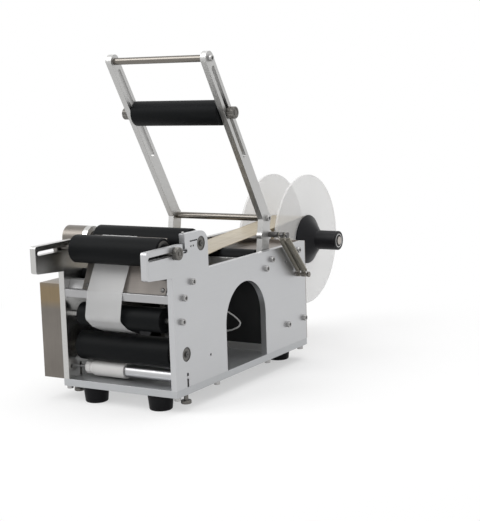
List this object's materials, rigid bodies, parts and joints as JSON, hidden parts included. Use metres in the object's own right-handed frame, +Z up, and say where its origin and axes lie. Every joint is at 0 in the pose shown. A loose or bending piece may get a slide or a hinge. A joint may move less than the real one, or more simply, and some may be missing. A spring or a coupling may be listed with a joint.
{
  "type": "round bottle labeling machine",
  "caption": "Bench machine that labels round bottles: roller bottle seat, sprung press arm, peel plate, driven liner take-up, label reel behind.",
  "frame": {"origin": "middle of the part's box at the height of the surface it stands on", "axes": "+Z up, +Y from the bottle rollers back to the reel, +X to the right seen from the front"},
  "size_m": [0.2728, 0.764, 0.5306],
  "materials": {
    "anodised": "satin anodised",
    "aluminium_bar": "satin",
    "stainless_sheet": "brushed",
    "steel": "turned",
    "dark_screw": "satin",
    "bright_screw": "bright",
    "spring_steel": "drawn wire",
    "roller_rubber": "matte",
    "foot_rubber": "matte",
    "black_plastic": "matte",
    "motor_paint": "satin",
    "board": "matte",
    "red_plastic": "gloss",
    "frosted_plastic": "frosted",
    "label_paper": "coated paper",
    "liner_paper": "glazed paper"
  },
  "bodies": {
    "frame": {"base_plate": "anodised", "rubber_feet": "foot_rubber", "right_side_plate": "anodised", "left_side_plate": "anodised", "crossbar": "aluminium_bar", "peel_rail": "aluminium_bar", "peel_plate": "stainless_sheet", "stay_bar": "aluminium_bar", "rear_stays": "aluminium_bar", "frame_screws": "dark_screw", "fixed_axles": "steel", "bearings": "steel", "drive_cover": "stainless_sheet", "cover_bolts": "dark_screw", "drive_motor": "motor_paint", "drive_belts": "foot_rubber", "box_panel": "black_plastic", "panel_strip": "aluminium_bar", "box_lid": "stainless_sheet", "rear_cover": "stainless_sheet", "small_screws": "bright_screw", "power_inlet": "black_plastic", "switch_housing": "black_plastic", "control_board": "board", "label_sensor": "black_plastic", "wiring_loop": "black_plastic", "label_web": "label_paper", "liner_web": "liner_paper", "reel_arm": "aluminium_bar", "reel_shaft": "steel", "lower_spring_stud": "bright_screw"},
    "reel": {"reel_discs": "frosted_plastic", "reel_hub": "black_plastic", "label_roll": "label_paper"},
    "traction": {"traction_roller": "roller_rubber", "traction_axle": "steel"},
    "motor_drive": {"motor_pulley": "bright_screw"},
    "rear_bottle_roller": {"rear_roller": "roller_rubber", "rear_axle": "steel"},
    "upper_idler": {"idler_roller": "roller_rubber"},
    "lower_idler": {"web_idler": "roller_rubber"},
    "pivot_guide": {"pivot_roller": "roller_rubber"},
    "take_up_carriage": {"take_up_axle": "steel", "thumb_screws": "bright_screw"},
    "take_up": {"take_up_tube": "bright_screw", "liner_roll": "liner_paper"},
    "front_carriage": {"front_axle": "steel"},
    "front_bottle_roller": {"front_roller": "roller_rubber", "front_core": "steel"},
    "press_arm": {"right_arm": "aluminium_bar", "left_arm": "aluminium_bar", "arm_rods": "steel", "arm_screws": "dark_screw", "upper_spring_stud": "bright_screw"},
    "press_carriage": {"press_axle": "steel"},
    "press_roll": {"press_roller": "roller_rubber"},
    "spring_link": {"spring_coils": "spring_steel", "lower_hooks": "spring_steel"},
    "spring_end": {"upper_hooks": "spring_steel"},
    "switch": {"rocker_key": "red_plastic"}
  },
  "joints": [
    {"name": "reel_turn", "type": "hinge", "parent": "frame", "child": "reel", "pos_m": [0.0084, 0.262, 0.1825], "axis": [1, 0, 0], "continuous": true},
    {"name": "traction_turn", "type": "hinge", "parent": "frame", "child": "traction", "pos_m": [0.0084, -0.2885, 0.086], "axis": [1, 0, 0], "continuous": true},
    {"name": "motor_turn", "type": "hinge", "parent": "frame", "child": "motor_drive", "pos_m": [0.0084, -0.228, 0.106], "axis": [1, 0, 0], "continuous": true},
    {"name": "rear_roller_turn", "type": "hinge", "parent": "frame", "child": "rear_bottle_roller", "pos_m": [0.0084, -0.238, 0.246], "axis": [1, 0, 0], "continuous": true},
    {"name": "idler_turn", "type": "hinge", "parent": "frame", "child": "upper_idler", "pos_m": [0.0084, -0.299, 0.137], "axis": [1, 0, 0], "continuous": true},
    {"name": "web_idler_turn", "type": "hinge", "parent": "frame", "child": "lower_idler", "pos_m": [0.0084, -0.268, 0.1925], "axis": [1, 0, 0], "continuous": true},
    {"name": "pivot_roller_turn", "type": "hinge", "parent": "frame", "child": "pivot_guide", "pos_m": [0.0084, -0.027, 0.1906], "axis": [1, 0, 0], "continuous": true},
    {"name": "take_up_lift", "type": "slide", "parent": "frame", "child": "take_up_carriage", "axis": [0, 0, 1], "range_m": [-0.002, 0]},
    {"name": "take_up_turn", "type": "hinge", "parent": "take_up_carriage", "child": "take_up", "pos_m": [0.0084, -0.2874, 0.0509], "axis": [1, 0, 0], "continuous": true},
    {"name": "front_slide", "type": "slide", "parent": "frame", "child": "front_carriage", "axis": [0, -1, 0], "range_m": [0, 0.0649]},
    {"name": "front_roller_turn", "type": "hinge", "parent": "front_carriage", "child": "front_bottle_roller", "pos_m": [0.0084, -0.3085, 0.24], "axis": [1, 0, 0], "continuous": true},
    {"name": "press_arm_swing", "type": "hinge", "parent": "frame", "child": "press_arm", "pos_m": [0.0084, -0.027, 0.1906], "axis": [1, 0, 0], "range_deg": [0, 44], "stiffness_Nm_per_rad": 3, "springref_deg": -45.84},
    {"name": "press_slide", "type": "slide", "parent": "press_arm", "child": "press_carriage", "axis": [0, 0.5205, -0.8539], "range_m": [-0.07249, 0.08086]},
    {"name": "press_roller_turn", "type": "hinge", "parent": "press_carriage", "child": "press_roll", "pos_m": [0.0084, -0.12448, 0.43507], "axis": [1, 0, 0], "continuous": true},
    {"name": "spring_swing", "type": "hinge", "parent": "frame", "child": "spring_link", "pos_m": [0.0084, 0.062, 0.153], "axis": [1, 0, 0], "range_deg": [-1, 10.37]},
    {"name": "spring_stretch", "type": "slide", "parent": "spring_link", "child": "spring_end", "axis": [0, -0.6822, 0.7312], "range_m": [-0.001, 0.0296], "deforming": ["spring_coils"]},
    {"name": "switch_rock", "type": "hinge", "parent": "frame", "child": "switch", "pos_m": [0.0084, 0.09095, 0.108], "axis": [1, 0, 0], "range_deg": [-18, 0]}
  ],
  "couplings": [
    {"joint": "traction_turn", "follows": "reel_turn", "ratio": -1.8667},
    {"joint": "motor_turn", "follows": "reel_turn", "ratio": -1.8667},
    {"joint": "rear_roller_turn", "follows": "reel_turn", "ratio": -1.8667},
    {"joint": "idler_turn", "follows": "reel_turn", "ratio": 2.2581},
    {"joint": "web_idler_turn", "follows": "reel_turn", "ratio": -4.2},
    {"joint": "pivot_roller_turn", "follows": "reel_turn", "ratio": 2.8},
    {"joint": "take_up_turn", "follows": "reel_turn", "ratio": 3.3871},
    {"joint": "spring_swing", "follows": "press_arm_swing", "ratio": 0.213},
    {"joint": "spring_stretch", "follows": "press_arm_swing", "m_per_rad": 0.037242}
  ]
}
